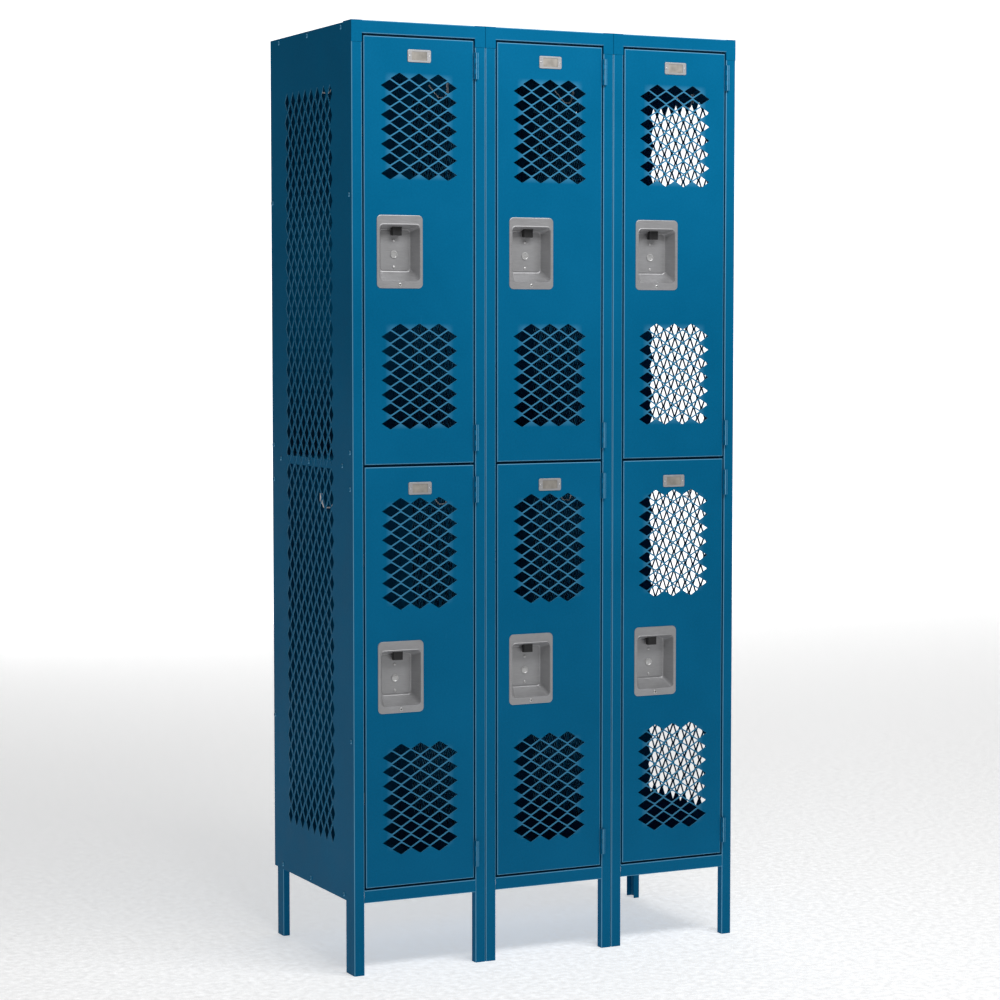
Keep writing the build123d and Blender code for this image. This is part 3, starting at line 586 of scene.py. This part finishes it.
def make_cup_fittings(key):
    """Rivets, the lock plug and the band screw with its cross recess, all in the cup; the cross
    recess is a dark block of painted shade on the screw head.
    """
    low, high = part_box(key + "_handle_cup")
    x = (low.x + high.x) / 2
    z = (low.z + high.z) / 2
    back_y = FRONT + CUP_FLOOR_DEPTH
    fittings_x = x + CUP_FITTING_SHIFT
    fittings = bmesh.new()
    for height in CUP_RIVET_HEIGHTS:
        rivet = dome_profile(CUP_RIVET_RADIUS, CUP_RIVET_CROWN, CUP_RIVET_SKIRT)
        lathe(fittings, Vector((fittings_x, back_y, z + height)), OUTWARD, rivet)
    turned = ((8.2, -0.3), (8.2, 1.0), (7.6, 1.7), (6.4, 1.9), (5.6, 1.5), (5.2, 0.9), (1.0, 1.1))
    plug = [(radius * MM, height * MM) for radius, height in turned]
    lathe(fittings, Vector((fittings_x, back_y, z + LOCK_PLUG_HEIGHT)), OUTWARD, plug)
    band_y = FRONT + CUP_BAND_DEPTH
    screw_z = z + BAND_SCREW_HEIGHT
    screw = dome_profile(BAND_SCREW_RADIUS, BAND_SCREW_CROWN)
    lathe(fittings, Vector((x, band_y, screw_z)), OUTWARD, screw)
    finish_piece(fittings, key + "_cup_fittings", key + "_door", PLATED)
    # Painted shade: the screw's cross recess is a dark cross-shaped block set into the head, not a
    # hollow.
    recess = bmesh.new()
    place = Matrix.Translation((x, band_y - RECESS_RISE, screw_z))
    for long_x, long_z in ((RECESS_LENGTH, RECESS_WIDTH), (RECESS_WIDTH, RECESS_LENGTH)):
        size = Matrix.Diagonal((long_x, RECESS_DEPTH, long_z, 1.0))
        bmesh.ops.create_cube(recess, size=1.0, matrix=place @ size)
    finish_piece(recess, key + "_screw_recess_painted_shade", key + "_door", RECESS_SHADE_TONE)


def make_card_fittings(key):
    """The card in its window and the holder's two rivets."""
    low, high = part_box(key + "_name_plate")
    centre = (low + high) / 2
    card = bmesh.new()
    rings = []
    for inset, depth in zip((0.0, 0.0, CARD_BEVEL), CARD_DEPTHS):
        outline = rounded_ring(CARD_HALF_WIDTH - inset, CARD_HALF_HEIGHT - inset, CARD_CORNER)
        y = low.y + depth
        rings.append([card.verts.new((centre.x + u, y, centre.z + v)) for u, v in outline])
    for first, second in zip(rings, rings[1:]):
        bridge(card, first, second)
    card.faces.new(rings[0])
    card.faces.new(rings[-1])
    finish_piece(card, key + "_card", key + "_door", CARD)
    rivets = bmesh.new()
    for side in (-1, 1):
        place = Vector((centre.x + side * CARD_RIVET_OFFSET, low.y, centre.z))
        lathe(rivets, place, OUTWARD, dome_profile(CARD_RIVET_RADIUS, CARD_RIVET_CROWN))
    finish_piece(rivets, key + "_card_rivets", key + "_door", ZINC)


# Light, floor and camera
def add_light(name, place, target, size, power):
    """A rectangular area lamp aimed at a target."""
    lamp = bpy.data.lights.new(name, "AREA")
    lamp.shape = "RECTANGLE"
    lamp.size, lamp.size_y = size
    lamp.energy = power
    holder = bpy.data.objects.new(name, lamp)
    holder.location = place
    holder.rotation_euler = (Vector(target) - Vector(place)).to_track_quat("-Z", "Y").to_euler()
    bpy.context.scene.collection.objects.link(holder)


def make_studio():
    """The world's light, the lamp, the backdrop and the floor."""
    world = bpy.data.worlds.new("studio")
    world.use_nodes = True
    world.node_tree.nodes["Background"].inputs["Color"].default_value = (1, 1, 1, 1)
    world.node_tree.nodes["Background"].inputs["Strength"].default_value = WORLD_LIGHT
    bpy.context.scene.world = world
    add_light("key", KEY_PLACE, KEY_TARGET, KEY_SIZE, KEY_POWER)
    make_backdrop()
    floor = bmesh.new()
    for side_x, side_y in ((-1, -1), (1, -1), (1, 1), (-1, 1)):
        floor.verts.new((side_x * FLOOR_REACH, side_y * FLOOR_REACH, 0))
    floor.faces.new(floor.verts[:])
    mesh = bpy.data.meshes.new("floor")
    floor.to_mesh(mesh)
    floor.free()
    mesh.materials.append(FLOOR)
    ground = bpy.data.objects.new("floor", mesh)
    bpy.context.scene.collection.objects.link(ground)


def make_backdrop():
    """An evenly glowing white sheet behind the cabinet, part of the studio."""
    glow = bpy.data.materials.new("backdrop_glow")
    glow.use_nodes = True
    shader = glow.node_tree.nodes["Principled BSDF"]
    shader.inputs["Base Color"].default_value = (0.9, 0.9, 0.9, 1)
    shader.inputs["Emission Color"].default_value = (1, 1, 1, 1)
    shader.inputs["Emission Strength"].default_value = BACKDROP_GLOW
    sheet = bmesh.new()
    left, right = BACKDROP_ACROSS
    corners = ((left, 0), (right, 0), (right, BACKDROP_TOP), (left, BACKDROP_TOP))
    sheet.faces.new([sheet.verts.new((x, BACKDROP_DISTANCE, z)) for x, z in corners])
    mesh = bpy.data.meshes.new("backdrop")
    sheet.to_mesh(mesh)
    sheet.free()
    mesh.materials.append(glow)
    wall = bpy.data.objects.new("backdrop", mesh)
    bpy.context.scene.collection.objects.link(wall)


def make_camera():
    """The photo's viewpoint, measured from the cabinet's front left foot."""
    lens = bpy.data.cameras.new("camera")
    lens.lens = CAMERA_LENS
    lens.sensor_width = CAMERA_SENSOR
    lens.clip_end = CAMERA_REACH
    viewer = bpy.data.objects.new("camera", lens)
    corner = Vector((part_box("left_unit_left_upright")[0].x, FRONT, 0))
    viewer.location = corner + CAMERA_FROM_CORNER
    viewer.rotation_euler = (math.radians(90 + CAMERA_PITCH), 0, math.radians(CAMERA_YAW))
    bpy.context.scene.collection.objects.link(viewer)
    bpy.context.scene.camera = viewer


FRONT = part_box("headers")[0].y

for cad_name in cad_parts:
    dress(cad_name, PAINT)
# The hooks take the near-white painted highlight.
dress("wall_hooks", HOOK_GLARE_WHITE)
dress("door_bumpers", RUBBER)
make_walls()
for unit in UNITS:
    for tier in TIERS:
        door = f"{unit}_{tier}"
        dress(door + "_door_panel", DOOR_PAINT)
        dress(door + "_name_plate", PLATE)
        dress(door + "_lock_bar", ZINC)
        dress(door + "_finger_lift", BLACK)
        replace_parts(make_cup(door), door + "_handle_cup")
        make_cup_fittings(door)
        make_card_fittings(door)
make_studio()
make_camera()
bpy.context.scene.view_settings.view_transform = "Standard"
